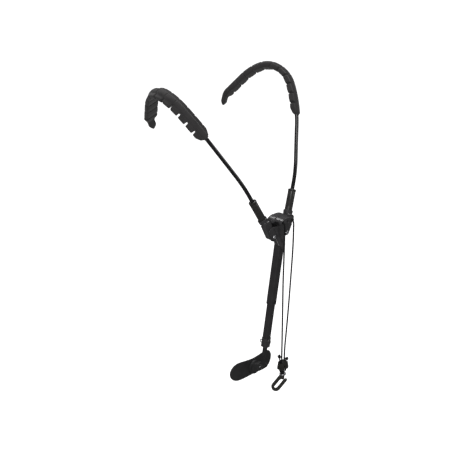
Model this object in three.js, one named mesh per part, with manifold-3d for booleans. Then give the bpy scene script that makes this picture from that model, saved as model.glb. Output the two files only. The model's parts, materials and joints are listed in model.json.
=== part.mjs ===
// Rigid shoulder harness for a saxophone: two bent rods with padded shoulder hooks fold on a moulded hub,
// a telescopic bar hangs from the hub to a belly plate, and a cord with a slider carries the hook.
// Millimetres, +Z up. +X runs across the wearer, -Y is the front, +Y is the wearer's side.
// The origin is midway between the two shoulder pads, at the undersides of their crowns.
import * as THREE from "three";
import { mergeVertices } from "three/addons/utils/BufferGeometryUtils.js";
import Module from "manifold-3d";

const wasm = await Module();
wasm.setup();

// ---- driving dimensions -------------------------------------------------------------------------
// The hub's own point is the middle of the bar's top, and everything is placed from there.
const HUB_BELOW_PADS = 234.3; // height of the pads' crown undersides over the hub's point
const PADS_BEHIND_HUB = 127.7; // how far behind the hub's point the crowns are

const BAR_TILT = 8.2; // degrees; the bar's foot swings back towards the wearer
const BAR_LENGTH = 174;

const HINGE_X = 14.2; // arm hinge screws, either side of the middle
const HINGE_Y = 2.4; // middle of the hinge tongue
const HINGE_Z = 20.5;
const ARM_LEAN = 12; // degrees; the sleeves lean back from their tongues
const TONGUE_THICK = 6;
const TONGUE_RADIUS = 6; // round the hinge
const COLLAR = { foot: 26.5, top: 33.5, radius: 7.5 }; // distances from the hinge

const SLEEVE_RADIUS = 5.9;
const SLEEVE_TOP = 63.3; // from the hinge
const ROD_ZERO = 31; // from the hinge to where the rod is measured from
const ROD_RADIUS = 3;
const ROD_BORE = 3.7; // corner radius of the eight-sided bores that hold a rod
const SLEEVE_RING_LENGTH = 3;

const OUTER_TUBE = { wide: 12.2, deep: 12.6, corner: 2.6, wall: 0.85, top: 4, foot: -99 };
const INNER_TUBE = { wide: 10, deep: 10.4, corner: 2, wall: 0.9, top: -6, foot: -172 };
const BUTTON_AT = -16.5; // along the bar
const HEIGHT_STEP = 77; // from the upper button hole to the lower one
const BUTTON_RADIUS = 2.4;

const STALK = { wide: 7, deep: 4.6, top: -168, foot: -216 };
const TILT_PIN_AT = -213; // along the bar
const CAP = { wide: 11.4, deep: 11.8, corner: 2.6, top: -160, foot: -176.5 };

const PLATE_HALF_LENGTH = 49;
const PLATE_LOBE_HEIGHT = 31;
const PLATE_WAIST_HEIGHT = 27.5;
const PLATE_THICK = 3;
const PLATE_BEND = 230; // radius that the plate wraps round the belly with
const PLATE_FRONT_Y = 49.8;
const PLATE_Z = -218.5;

const CORD_RADIUS = 1.25;
const CORD_HOLE_STEP = 10; // between the three cord holes in the hub's nose
const SLIDER = { x: -1.5, y: -13.5, top: -186.5, foot: -200.5, halfTop: 7.2, halfFoot: 8.2, deep: 9.4 };
const LOOP_HALF = 5; // half of the distance between the two cord slots in the slider
const LOOP_DROP = 4.5; // from the slider's foot to the loops' lowest middle line
const LOOP_BELLY = 3.8; // height of the loops' rounded part
const LOOP_STEP = 1.65; // the two cord loops pass side by side, this far from the slider's middle
const GAP = 0.3; // left where two pieces touch
const HOOK_TURN = -41; // degrees about the swivel

// One arm's rod. Each stretch is a length, the angle that it turns through towards the wearer, and the
// angle that it turns through away from the middle. The second stretch is bent by hand, so its sideways
// angle is each arm's own.
const rodStretches = (sway) => [
  { length: 44, turn: 0, side: 0 }, // in the sleeve and just past it
  { length: 40, turn: 10, side: sway },
  { length: 53, turn: -0.5, side: 0.5 },
  { length: 72, turn: 16.5, side: -4 }, // up the front of the shoulder
  { length: 42, turn: 44.5, side: -6 },
  { length: 29, turn: 45, side: -2 }, // the crown over the shoulder
  { length: 32, turn: 22.5, side: 3 }, // down the back
  { length: 34, turn: 0, side: 0 },
  { length: 9, turn: 36, side: 0 }, // the tongue curls in at the end
  { length: 14, turn: 0, side: 0 },
];
const ROD_LENGTH = rodStretches(0).reduce((sum, { length }) => sum + length, 0);
const PAD_FROM = 156.5; // along the rod
const ROD_IN_PAD_TO = 345;
const PAD_HALF_WIDTH = 11;
const TONGUE_HALF_WIDTH = 5.8; // of the pad's tongue
// fold and turn are the angles each arm stands at: fold out from upright, turn of the rod in its sleeve
const ARMS = [
  { side: "left", sign: -1, fold: 26, turn: 2.5, sway: 3.5 },
  { side: "right", sign: 1, fold: 30, turn: 11.5, sway: 0 },
];

// ---- materials ----------------------------------------------------------------------------------
const look = (colour, roughness, metalness = 0) =>
  new THREE.MeshStandardMaterial({ color: colour, roughness, metalness });
const hubPlastic = () => look(0x1c1b1d, 0.38);
const sleeveMetal = () => look(0x222223, 0.35, 0.6);
const rodMetal = () => look(0x141416, 0.2, 0.7);
const padRubber = () => look(0x2b2a2b, 0.85);
const tubeMetal = () => look(0x232224, 0.45, 0.5);
const platePlastic = () => look(0x2a2a2b, 0.7);
const brightSteel = () => look(0xc8c9cc, 0.25, 1);
const cordFibre = () => look(0x18181a, 0.9);
const sliderPlastic = () => look(0x26251f, 0.45);
const hookMetal = () => look(0x2d2c27, 0.4, 0.5);

// ---- helpers ------------------------------------------------------------------------------------
const radians = THREE.MathUtils.degToRad;

// A closed three.js geometry as a manifold-3d solid, moved by a matrix.
function solid(geometry, matrix = new THREE.Matrix4()) {
  const bare = geometry.clone().applyMatrix4(matrix);
  bare.deleteAttribute("normal");
  bare.deleteAttribute("uv");
  const merged = mergeVertices(bare, 1e-4);
  return new wasm.Manifold(
    new wasm.Mesh({
      numProp: 3,
      vertProperties: new Float32Array(merged.attributes.position.array),
      triVerts: new Uint32Array(merged.index.array),
    }),
  );
}

function geometryOf(manifold) {
  const { vertProperties, triVerts } = manifold.getMesh();
  const geometry = new THREE.BufferGeometry();
  geometry.setAttribute("position", new THREE.BufferAttribute(new Float32Array(vertProperties), 3));
  geometry.setIndex(new THREE.BufferAttribute(new Uint32Array(triVerts), 1));
  return geometry;
}

const unite = (solids) => solids.reduce((whole, part) => whole.add(part));
const cut = (whole, tools) => tools.reduce((rest, tool) => rest.subtract(tool), whole);

function piece(name, shape, material) {
  const geometry = shape.isBufferGeometry ? shape : geometryOf(shape);
  const mesh = new THREE.Mesh(geometry, material);
  mesh.name = name;
  return mesh;
}

function group(position, rotation, ...members) {
  const made = new THREE.Group();
  made.position.set(...position);
  made.rotation.set(...rotation.map(radians));
  made.add(...members);
  return made;
}

const at = (x, y, z) => new THREE.Matrix4().makeTranslation(x, y, z);
const aboutX = (degrees) => new THREE.Matrix4().makeRotationX(radians(degrees));
const aboutY = (degrees) => new THREE.Matrix4().makeRotationY(radians(degrees));
const barTurn = () => aboutX(BAR_TILT);
// Stands an outline drawn as (y, z) upright, and extrudes it along X.
const sideways = () =>
  new THREE.Matrix4().makeBasis(
    new THREE.Vector3(0, 1, 0),
    new THREE.Vector3(0, 0, 1),
    new THREE.Vector3(1, 0, 0),
  );

// A box by its two corners.
function box(low, high) {
  const size = low.map((value, i) => high[i] - value);
  const middle = low.map((value, i) => (high[i] + value) / 2);
  return solid(new THREE.BoxGeometry(...size), at(...middle));
}

// A cylinder from one height to another: round Z, or round Y where the two ends are y values.
function roundZ(radius, low, high, sides = 16, x = 0, y = 0) {
  const turn = aboutX(90);
  const matrix = at(x, y, (low + high) / 2).multiply(turn);
  return solid(new THREE.CylinderGeometry(radius, radius, high - low, sides), matrix);
}

function roundY(radius, low, high, sides = 16, x = 0, z = 0) {
  return solid(new THREE.CylinderGeometry(radius, radius, high - low, sides), at(x, (low + high) / 2, z));
}

function roundX(radius, low, high, sides = 12, y = 0, z = 0) {
  const matrix = at((low + high) / 2, y, z).multiply(new THREE.Matrix4().makeRotationZ(Math.PI / 2));
  return solid(new THREE.CylinderGeometry(radius, radius, high - low, sides), matrix);
}

function roundedRect(wide, deep, corner) {
  const [x, y] = [wide / 2, deep / 2];
  const shape = new THREE.Shape();
  shape.moveTo(-x + corner, -y);
  shape.lineTo(x - corner, -y);
  shape.absarc(x - corner, -y + corner, corner, -Math.PI / 2, 0);
  shape.lineTo(x, y - corner);
  shape.absarc(x - corner, y - corner, corner, 0, Math.PI / 2);
  shape.lineTo(-x + corner, y);
  shape.absarc(-x + corner, y - corner, corner, Math.PI / 2, Math.PI);
  shape.lineTo(-x, -y + corner);
  shape.absarc(-x + corner, -y + corner, corner, Math.PI, 1.5 * Math.PI);
  return shape;
}

// A rounded rectangular bar along Z.
function column({ wide, deep, corner }, low, high, grow = 0, segments = 3) {
  const shape = roundedRect(wide + 2 * grow, deep + 2 * grow, Math.max(corner + grow, 0.3));
  const geometry = new THREE.ExtrudeGeometry(shape, {
    depth: high - low,
    bevelEnabled: false,
    curveSegments: segments,
  });
  return solid(geometry, at(0, 0, low));
}

// An outline drawn in the XZ plane, as thick as from one y to another.
function slab(shape, low, high, segments = 6) {
  const geometry = new THREE.ExtrudeGeometry(shape, {
    depth: high - low,
    bevelEnabled: false,
    curveSegments: segments,
  });
  return solid(geometry, at(0, high, 0).multiply(aboutX(90)));
}

// A closed skin over rings of points that all have the same number of points.
function loft(rings) {
  const count = rings[0].length;
  const positions = rings.flat().flatMap((p) => [p.x, p.y, p.z]);
  const faces = [];
  for (let ring = 0; ring + 1 < rings.length; ring++) {
    for (let i = 0; i < count; i++) {
      const next = (i + 1) % count;
      const [a, b] = [ring * count + i, ring * count + next];
      faces.push(a, b, b + count, a, b + count, a + count);
    }
  }
  const last = (rings.length - 1) * count;
  for (let i = 1; i + 1 < count; i++) {
    faces.push(0, i + 1, i);
    faces.push(last, last + i, last + i + 1);
  }
  const geometry = new THREE.BufferGeometry();
  geometry.setAttribute("position", new THREE.Float32BufferAttribute(positions, 3));
  geometry.setIndex(faces);
  return geometry;
}

function circle(radius, sides) {
  const points = [];
  for (let i = 0; i < sides; i++) {
    const angle = (2 * Math.PI * (i + 0.5)) / sides;
    points.push(new THREE.Vector2(radius * Math.cos(angle), radius * Math.sin(angle)));
  }
  return new THREE.Shape(points);
}

// A round cord or wire along a list of points.
function cordAlong(points, radius, steps, sides = 8) {
  const path = new THREE.CatmullRomCurve3(points.map((p) => new THREE.Vector3(...p)));
  return new THREE.ExtrudeGeometry(circle(radius, sides), { steps, extrudePath: path });
}

// ---- the arms -----------------------------------------------------------------------------------
// The place of the rod at a distance along it: X runs across it, Y towards the shoulder and Z along it.
function rodAt(distance, { sign, sway }) {
  const place = new THREE.Matrix4();
  let left = distance;
  for (const { length, turn, side } of rodStretches(sway)) {
    const run = Math.min(left, length);
    const bend = new THREE.Vector3(-turn, sign * side, 0).multiplyScalar(radians(run / length));
    const angle = bend.length();
    const chord = angle === 0 ? run : (2 * run * Math.sin(angle / 2)) / angle;
    const half = new THREE.Matrix4().makeRotationAxis(bend.normalize(), angle / 2);
    place.multiply(half).multiply(at(0, 0, chord)).multiply(half);
    left -= run;
    if (left <= 0) break;
  }
  return place;
}

// Distances from one to another, closer together where the rod is bent more.
function stations(from, to) {
  const places = [from];
  let end = 0;
  for (const { length, turn } of rodStretches(0)) {
    const start = end;
    end += length;
    const parts = Math.max(1, Math.round(turn / 5));
    for (let i = 1; i <= parts; i++) {
      const place = start + (length * i) / parts;
      if (place > from + 1 && place < to - 1) places.push(place);
    }
  }
  places.push(to);
  return places;
}

// A ring of [across, inward] points round the rod at a distance along it.
function ringAt(distance, arm, outline) {
  const place = rodAt(distance, arm);
  return outline.map(([across, inward]) => new THREE.Vector3(across, inward, 0).applyMatrix4(place));
}

function rodSkin(radius, from, to, sides, arm) {
  const outline = [];
  for (let i = 0; i < sides; i++) {
    const angle = (2 * Math.PI * (i + 0.5)) / sides;
    outline.push([radius * Math.cos(angle), radius * Math.sin(angle)]);
  }
  return loft(stations(from, to).map((distance) => ringAt(distance, arm, outline)));
}

// Half width, inner depth and outer depth of the pad at a distance along the rod.
function padSize(distance) {
  const lead = THREE.MathUtils.smoothstep(distance, PAD_FROM, PAD_FROM + 13);
  const tail = THREE.MathUtils.smoothstep(ROD_LENGTH - distance, 12, 25);
  const tip = Math.sqrt(THREE.MathUtils.clamp((ROD_LENGTH - distance) / 6, 0.12, 1));
  return {
    half: (6.5 + (PAD_HALF_WIDTH - 6.5) * lead) * tail + TONGUE_HALF_WIDTH * (1 - tail) * tip,
    inner: (5 + 2 * lead) * tail + 4.2 * (1 - tail) * tip,
    outer: 5.2 * tail + 4.2 * (1 - tail) * tip,
    spine: 5.6 * tail + 3.6 * (1 - tail) * tip,
  };
}

function padSkin(arm) {
  const rings = stations(PAD_FROM, ROD_LENGTH).map((distance) => {
    const { half, inner, outer, spine } = padSize(distance);
    const outline = [
      [spine, -outer],
      [half, -1.2],
      [half, inner * 0.55],
      [half - 2, inner],
      [2 - half, inner],
      [-half, inner * 0.55],
      [-half, -1.2],
      [-spine, -outer],
    ];
    return ringAt(distance, arm, outline);
  });
  return loft(rings);
}

// The tongue between the hub's two plates, and the collar that leans back and holds the sleeve. The
// tongue's outer edge widens until it is flush with the collar.
function armBracket(side, sign) {
  const shape = new THREE.Shape();
  shape.absarc(0, 0, TONGUE_RADIUS, Math.PI, 2 * Math.PI);
  shape.lineTo(sign > 0 ? 7.3 : 6, 22);
  shape.quadraticCurveTo(sign > 0 ? 7.4 : 6, 28.5, 3, 28.5);
  shape.lineTo(-3, 28.5);
  shape.quadraticCurveTo(sign > 0 ? -6 : -7.4, 28.5, sign > 0 ? -6 : -7.3, 22);
  const tongue = slab(shape, -TONGUE_THICK / 2, TONGUE_THICK / 2);
  const leaned = aboutX(-ARM_LEAN);
  const { foot, top, radius } = COLLAR;
  const collar = solid(
    new THREE.CylinderGeometry(radius, radius - 0.6, top - foot, 20),
    leaned.clone().multiply(at(0, 0, (foot + top) / 2)).multiply(aboutX(90)),
  );
  const socket = roundZ(SLEEVE_RADIUS + GAP, foot + 2, top + 1, 16).transform(leaned.elements);
  const pinHole = roundY(2.5 + GAP, -10, 10);
  return piece(`${side}_arm_bracket`, cut(tongue.add(collar), [socket, pinHole]), hubPlastic());
}

// The sleeve is bored for the rod, and ends in a ring that clamps it.
function sleeve(side) {
  const foot = COLLAR.foot + 2 + GAP;
  const tube = roundZ(SLEEVE_RADIUS, foot, SLEEVE_TOP, 16);
  const bore = roundZ(ROD_BORE, foot + 2, SLEEVE_TOP + 1, 8);
  return piece(`${side}_sleeve`, tube.subtract(bore), sleeveMetal());
}

function sleeveRing(side) {
  const low = SLEEVE_TOP + GAP;
  const ring = roundZ(SLEEVE_RADIUS + 0.3, low, low + SLEEVE_RING_LENGTH, 16);
  const bore = roundZ(ROD_BORE, low - 1, low + SLEEVE_RING_LENGTH + 1, 8);
  return piece(`${side}_sleeve_ring`, ring.subtract(bore), sleeveMetal());
}

function rodAndPad(arm) {
  const rod = piece(`${arm.side}_rod`, rodSkin(ROD_RADIUS, 3, ROD_IN_PAD_TO, 10, arm), rodMetal());
  const bore = solid(rodSkin(ROD_BORE, PAD_FROM - 3, ROD_IN_PAD_TO + 0.6, 8, arm));
  const pad = piece(`${arm.side}_shoulder_pad`, solid(padSkin(arm)).subtract(bore), padRubber());
  return group([0, 0, ROD_ZERO], [0, 0, 0], rod, pad);
}

function makeArm(arm) {
  const { side, sign, fold, turn } = arm;
  const turned = group([0, 0, 0], [0, 0, sign * turn], rodAndPad(arm));
  const leaned = group([0, 0, 0], [-ARM_LEAN, 0, 0], sleeve(side), sleeveRing(side), turned);
  return group([sign * HINGE_X, HINGE_Y, HINGE_Z], [0, sign * fold, 0], armBracket(side, sign), leaned);
}

// ---- the hub ------------------------------------------------------------------------------------
const FRONT_PLATE = { front: -2.9, back: HINGE_Y - TONGUE_THICK / 2 - GAP, top: 37 };
const BACK_SHELL = { front: HINGE_Y + TONGUE_THICK / 2 + GAP, back: 10.4, top: 43.5 };
const WING_LEAN = 28; // degrees; the plates' outer edges run up beside the arms
// the block between the two tongues, behind the front plate
const CORE = { half: 7.6, front: FRONT_PLATE.back + GAP, low: 15, high: 32 };
const RIB_FRONT = -4.7; // the Y-shaped rib on the front plate
const NOSE_FRONT = -16.5;
const NOSE_LOW = 42.5;
const HOLE_Z = 45.3; // where the cord holes' axes meet the nose's front
const HOLE_DROP = 16; // degrees that the holes slope down to the front

// The outline of a plate: round each hinge with a radius, up beside the arms, and across the top.
function wings(radius, reach, top, halfTop) {
  const lean = radians(WING_LEAN);
  const tipX = HINGE_X + radius * Math.cos(lean) + reach * Math.sin(lean);
  const tipZ = HINGE_Z - radius * Math.sin(lean) + reach * Math.cos(lean);
  const shape = new THREE.Shape();
  shape.moveTo(-7.2, 9);
  shape.lineTo(7.2, 9);
  shape.absarc(HINGE_X, HINGE_Z, radius, radians(-120), -lean);
  shape.lineTo(tipX, tipZ);
  shape.lineTo(halfTop, top);
  shape.lineTo(-halfTop, top);
  shape.lineTo(-tipX, tipZ);
  shape.absarc(-HINGE_X, HINGE_Z, radius, Math.PI + lean, radians(300));
  return shape;
}

// The arched crown over the hub, as an outline in the XZ plane.
function crownArch(inset) {
  const shape = new THREE.Shape();
  const half = 17.6 - inset;
  const foot = 43.2 - inset;
  const shoulder = 44;
  const top = 51.6 - inset;
  shape.moveTo(-half, foot);
  shape.lineTo(half, foot);
  shape.lineTo(half, shoulder);
  shape.quadraticCurveTo(half - 1.5, top - 1, half - 12, top);
  shape.lineTo(12 - half, top);
  shape.quadraticCurveTo(1.5 - half, top - 1, -half, shoulder);
  return shape;
}

// The nose that carries the cord, with an arched top.
function noseArch() {
  const shape = new THREE.Shape();
  shape.moveTo(-13.5, NOSE_LOW);
  shape.lineTo(13.5, NOSE_LOW);
  shape.quadraticCurveTo(15, NOSE_LOW, 15, 44);
  shape.lineTo(15, 45.5);
  shape.quadraticCurveTo(12.5, 51, 0, 51.2);
  shape.quadraticCurveTo(-12.5, 51, -15, 45.5);
  shape.lineTo(-15, 44);
  shape.quadraticCurveTo(-15, NOSE_LOW, -13.5, NOSE_LOW);
  return shape;
}

function cordHoles() {
  return [-1, 0, 1].map((step) => {
    const sloped = at(step * CORD_HOLE_STEP, NOSE_FRONT, HOLE_Z).multiply(aboutX(HOLE_DROP));
    return roundY(1.8, -6, 5, 10).transform(sloped.elements);
  });
}

// A ring round Z for a loft: a rounded rectangle between two y values at a height.
function sectionRing(wide, front, back, corner, z) {
  const outline = roundedRect(wide, back - front, corner).extractPoints(3).shape;
  const points = outline.slice(0, -1);
  return points.map((p) => new THREE.Vector3(p.x, p.y + (front + back) / 2, z));
}

// The neck under the core narrows to the tube's own outline, and a plug goes on down into the tube.
function neckAndPlug() {
  const { wide, deep, corner, wall, top } = OUTER_TUBE;
  const foot = sectionRing(wide, -deep / 2, deep / 2, corner, top + GAP);
  foot.forEach((p) => p.applyMatrix4(barTurn()));
  const head = sectionRing(2 * CORE.half, CORE.front, BACK_SHELL.front + 1, corner, CORE.low + 1);
  const neck = solid(loft([foot, head]));
  const inner = { wide: wide - 2 * wall, deep: deep - 2 * wall, corner: corner - wall };
  const plug = column(inner, top - 8, top + 1, -GAP).transform(barTurn().elements);
  return neck.add(plug);
}

function hubBody() {
  const { front, back, top } = BACK_SHELL;
  const shell = slab(wings(5.7, 24, top, 18), front, back, 6);
  const crown = slab(crownArch(0), -3, back, 5);
  const hollow = slab(crownArch(3.5), -20, front, 5);
  const nose = slab(noseArch(), NOSE_FRONT, 2, 5);
  const underHood = box([-60, NOSE_FRONT + 4.5, NOSE_LOW - 5], [60, front, 46.2]);
  const core = box([-CORE.half, CORE.front, CORE.low], [CORE.half, front + 1, CORE.high]);
  const whole = unite([cut(unite([shell, crown]), [hollow]), nose.subtract(underHood), core, neckAndPlug()]);
  const pinHoles = [-1, 1].map((sign) => roundY(2.5 + GAP, -30, 30, 16, sign * HINGE_X, HINGE_Z));
  const nutPockets = [-1, 1].map((sign) => roundY(4.6, back - 2.5, back + 3, 6, sign * HINGE_X, HINGE_Z));
  return piece("hub_body", cut(whole, [...pinHoles, ...nutPockets, ...cordHoles()]), hubPlastic());
}

// The Y-shaped rib's outline: a stem over the tube with a pointed foot, and two arms up to the top.
function ribOutline() {
  const { top } = FRONT_PLATE;
  const shape = new THREE.Shape();
  shape.moveTo(0, -4);
  shape.lineTo(5.6, 5);
  shape.lineTo(6.4, 15);
  shape.quadraticCurveTo(6.8, 19.5, 8.6, 23);
  shape.lineTo(16.5, top - 1);
  shape.lineTo(15.5, top);
  shape.lineTo(-15.5, top);
  shape.lineTo(-16.5, top - 1);
  shape.lineTo(-8.6, 23);
  shape.quadraticCurveTo(-6.8, 19.5, -6.4, 15);
  shape.lineTo(-5.6, 5);
  return shape;
}

// The rib from the side: upright on the plate, sloped forwards over the neck, and flat on the tube.
function ribSide() {
  const onTube = (along, proud) =>
    new THREE.Vector3(0, -OUTER_TUBE.deep / 2 - proud, along).applyMatrix4(barTurn());
  const { back, top } = FRONT_PLATE;
  const [tipFront, bendFront] = [onTube(-5, 1.3), onTube(5, 1.7)];
  const [tipBack, bendBack] = [onTube(-5, GAP), onTube(OUTER_TUBE.top, GAP)];
  const shape = new THREE.Shape();
  shape.moveTo(RIB_FRONT, top + 1);
  shape.lineTo(RIB_FRONT, CORE.low + 4);
  shape.lineTo(bendFront.y, bendFront.z);
  shape.lineTo(tipFront.y, tipFront.z);
  shape.lineTo(tipBack.y, tipBack.z);
  shape.lineTo(bendBack.y, bendBack.z);
  shape.lineTo(back - GAP, CORE.low + 1);
  shape.lineTo(back, CORE.low + 1);
  shape.lineTo(back, top + 1);
  const geometry = new THREE.ExtrudeGeometry(shape, { depth: 60, bevelEnabled: false });
  return solid(geometry, at(-30, 0, 0).multiply(sideways()));
}

function hubFrontPlate() {
  const { front, back, top } = FRONT_PLATE;
  const plate = slab(wings(5.5, 15.5, top, 18), front, back, 6);
  const abovePlate = box([-60, -30, CORE.low + 1], [60, 30, 60]);
  const rib = slab(ribOutline(), -20, back, 4).intersect(ribSide());
  const pinHoles = [-1, 1].map((sign) => roundY(2.5 + GAP, -30, 30, 16, sign * HINGE_X, HINGE_Z));
  const whole = plate.intersect(abovePlate).add(rib);
  return piece("hub_front_plate", cut(whole, pinHoles), hubPlastic());
}

function hingeScrew(side, sign) {
  const shaft = roundY(2.5, FRONT_PLATE.front - 0.5, BACK_SHELL.back - 0.5, 12, sign * HINGE_X, HINGE_Z);
  const under = FRONT_PLATE.front - GAP;
  const head = roundY(3.2, under - 1.4, under, 16, sign * HINGE_X, HINGE_Z);
  return piece(`${side}_hinge_screw`, shaft.add(head), brightSteel());
}

function hingeNut(side, sign) {
  const low = BACK_SHELL.back - 2.5 + GAP;
  const nut = roundY(4.2, low, low + 2.5, 6, sign * HINGE_X, HINGE_Z);
  const hole = roundY(2.5 + GAP, low - 1, low + 4, 12, sign * HINGE_X, HINGE_Z);
  return piece(`${side}_hinge_nut`, nut.subtract(hole), brightSteel());
}

// ---- the bar, in its own tilted frame -------------------------------------------------------------
function tube({ wide, deep, corner, wall, top, foot }, holes) {
  const outside = column({ wide, deep, corner }, foot, top);
  const inside = column({ wide, deep, corner }, foot - 1, top + 1, -wall);
  const drills = holes.map((z) => roundY(BUTTON_RADIUS + GAP, -deep, 0, 12, 0, z));
  return cut(outside.subtract(inside), drills);
}

const outerTube = () =>
  piece("outer_tube", tube(OUTER_TUBE, [BUTTON_AT, BUTTON_AT - HEIGHT_STEP]), tubeMetal());
const innerTube = () => piece("inner_tube", tube(INNER_TUBE, [BUTTON_AT]), tubeMetal());

// The sprung button: a domed head through both walls, and a flange behind the inner one.
function heightButton() {
  const outsideWall = -OUTER_TUBE.deep / 2;
  const insideWall = -INNER_TUBE.deep / 2 + INNER_TUBE.wall;
  const head = roundY(BUTTON_RADIUS, outsideWall - 1, insideWall + 1, 12, 0, BUTTON_AT);
  const flange = roundY(BUTTON_RADIUS + 1, insideWall + GAP, insideWall + GAP + 1, 12, 0, BUTTON_AT);
  return piece("height_button", head.add(flange), tubeMetal());
}

// A leaf bent into a V, between the button's flange and the inner tube's back wall.
function leafSpring() {
  const front = -INNER_TUBE.deep / 2 + INNER_TUBE.wall + 1 + 2 * GAP;
  const back = INNER_TUBE.deep / 2 - INNER_TUBE.wall - GAP;
  const [top, foot, leaf] = [BUTTON_AT + 3, BUTTON_AT - 22, 0.5];
  const shape = new THREE.Shape();
  shape.moveTo(front, top);
  shape.lineTo(front + leaf, top);
  shape.lineTo(front + leaf, BUTTON_AT - 3);
  shape.lineTo(back - leaf, foot + 2);
  shape.lineTo(back - leaf, top);
  shape.lineTo(back, top);
  shape.lineTo(back, foot);
  shape.lineTo(back - leaf - 0.4, foot);
  shape.lineTo(front, BUTTON_AT - 3.4);
  const geometry = new THREE.ExtrudeGeometry(shape, { depth: 5, bevelEnabled: false });
  return piece("button_spring", solid(geometry, at(-2.5, 0, 0).multiply(sideways())), brightSteel());
}

// The moulded cap on the bar's foot, with a nub at its front and a slot for the stalk.
function endCap() {
  const shell = column(CAP, CAP.foot, CAP.top);
  const tubeRoom = column(INNER_TUBE, INNER_TUBE.foot - GAP, CAP.top + 1, GAP - 0.1);
  const nub = solid(
    new THREE.SphereGeometry(1, 12, 8),
    at(0, -CAP.deep / 2, -166).multiply(new THREE.Matrix4().makeScale(3.4, 3, 6)),
  );
  const slot = column({ wide: STALK.wide, deep: STALK.deep, corner: 0.5 }, CAP.foot - 1, CAP.top + 1, GAP);
  return piece("end_cap", cut(shell.add(nub), [tubeRoom, slot]), hubPlastic());
}

// A small ring at the back of the cap, for tying a cord.
function tieEyelet() {
  const ring = new THREE.TorusGeometry(2.5, 0.7, 8, 16);
  const standing = at(0, CAP.deep / 2 + GAP + 3.2, -171).multiply(aboutY(90));
  return piece("tie_eyelet", solid(ring, standing), hubPlastic());
}

function stalk() {
  const blade = column({ wide: STALK.wide, deep: STALK.deep, corner: 0.8 }, TILT_PIN_AT, STALK.top);
  const eye = roundX(3.4, -STALK.wide / 2, STALK.wide / 2, 16, 0, TILT_PIN_AT);
  const pinHole = roundX(1.5 + GAP, -10, 10, 12, 0, TILT_PIN_AT);
  return piece("stalk", blade.add(eye).subtract(pinHole), platePlastic());
}

const bar = () =>
  group(
    [0, 0, 0],
    [BAR_TILT, 0, 0],
    outerTube(),
    innerTube(),
    heightButton(),
    leafSpring(),
    endCap(),
    tieEyelet(),
    stalk(),
  );

// ---- the belly plate ------------------------------------------------------------------------------
const tiltPoint = new THREE.Vector3(0, 0, TILT_PIN_AT).applyMatrix4(barTurn());
const DISC = { radius: 11.5, front: PLATE_FRONT_Y - GAP - 4, back: PLATE_FRONT_Y - GAP };
const STUD_RADIUS = 4;

// The fork that tilts on the stalk's eye, and the disc that the plate turns on.
function plateKnuckle() {
  const { y, z } = tiltPoint;
  const cheek = new THREE.Shape();
  cheek.absarc(y, z, 4.6, Math.PI / 2, 1.5 * Math.PI);
  cheek.lineTo(DISC.front + 1, PLATE_Z - 8);
  cheek.lineTo(DISC.front + 1, PLATE_Z + 8);
  const geometry = new THREE.ExtrudeGeometry(cheek, { depth: 13.6, bevelEnabled: false, curveSegments: 6 });
  const block = solid(geometry, at(-6.8, 0, 0).multiply(sideways()));
  const half = STALK.wide / 2 + GAP;
  const slot = box([-half, y - 8, z - 20], [half, y + 5, z + 20]);
  const disc = roundY(DISC.radius, DISC.front, DISC.back, 24, 0, PLATE_Z);
  const studHole = roundY(STUD_RADIUS + GAP, y, DISC.back + 1, 16, 0, PLATE_Z);
  const washerRoom = roundY(5.8, y + 4, DISC.front + 1, 16, 0, PLATE_Z);
  const pinHole = roundX(1.5 + GAP, -10, 10, 12, y, z);
  const whole = cut(block.add(disc), [slot, studHole, washerRoom, pinHole]);
  return piece("plate_knuckle", whole, platePlastic());
}

function tiltPin() {
  const { y, z } = tiltPoint;
  const pin = roundX(1.5, -7.4, 7.4, 10, y, z);
  const head = roundX(2.6, 7.1, 8.3, 12, y, z);
  return piece("tilt_pin", pin.add(head), brightSteel());
}

// Two lobes and a waist, wrapped round the belly.
function bellyPlate() {
  const lobe = PLATE_LOBE_HEIGHT / 2;
  const waist = PLATE_WAIST_HEIGHT / 2;
  const lobeX = PLATE_HALF_LENGTH - lobe - 3;
  const shape = new THREE.Shape();
  shape.moveTo(-lobeX, -lobe);
  shape.bezierCurveTo(-lobeX / 2, -lobe, -lobeX / 2, -waist, 0, -waist);
  shape.bezierCurveTo(lobeX / 2, -waist, lobeX / 2, -lobe, lobeX, -lobe);
  shape.absellipse(lobeX, 0, PLATE_HALF_LENGTH - lobeX, lobe, -Math.PI / 2, Math.PI / 2);
  shape.bezierCurveTo(lobeX / 2, lobe, lobeX / 2, waist, 0, waist);
  shape.bezierCurveTo(-lobeX / 2, waist, -lobeX / 2, lobe, -lobeX, lobe);
  shape.absellipse(-lobeX, 0, PLATE_HALF_LENGTH - lobeX, lobe, Math.PI / 2, 1.5 * Math.PI);
  const outline = slab(shape, 0, 60, 9).translate([0, PLATE_FRONT_Y - 5, PLATE_Z]);
  const middle = PLATE_FRONT_Y + PLATE_BEND;
  const ring = (radius) => {
    const sides = 90;
    const turn = new THREE.Matrix4().makeRotationZ(Math.PI / sides);
    const standing = at(0, middle, PLATE_Z).multiply(turn).multiply(aboutX(90));
    // corner radius of a ring whose flats lie at the wanted radius
    const corner = radius / Math.cos(Math.PI / sides);
    return solid(new THREE.CylinderGeometry(corner, corner, 80, sides), standing);
  };
  const shell = ring(PLATE_BEND).subtract(ring(PLATE_BEND - PLATE_THICK));
  const stud = roundY(STUD_RADIUS, DISC.front - 0.5, PLATE_FRONT_Y + 1, 16, 0, PLATE_Z);
  const screwHole = roundY(1.5, DISC.front - 2, PLATE_FRONT_Y - 1, 10, 0, PLATE_Z);
  return piece("belly_plate", outline.intersect(shell).add(stud).subtract(screwHole), platePlastic());
}

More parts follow.
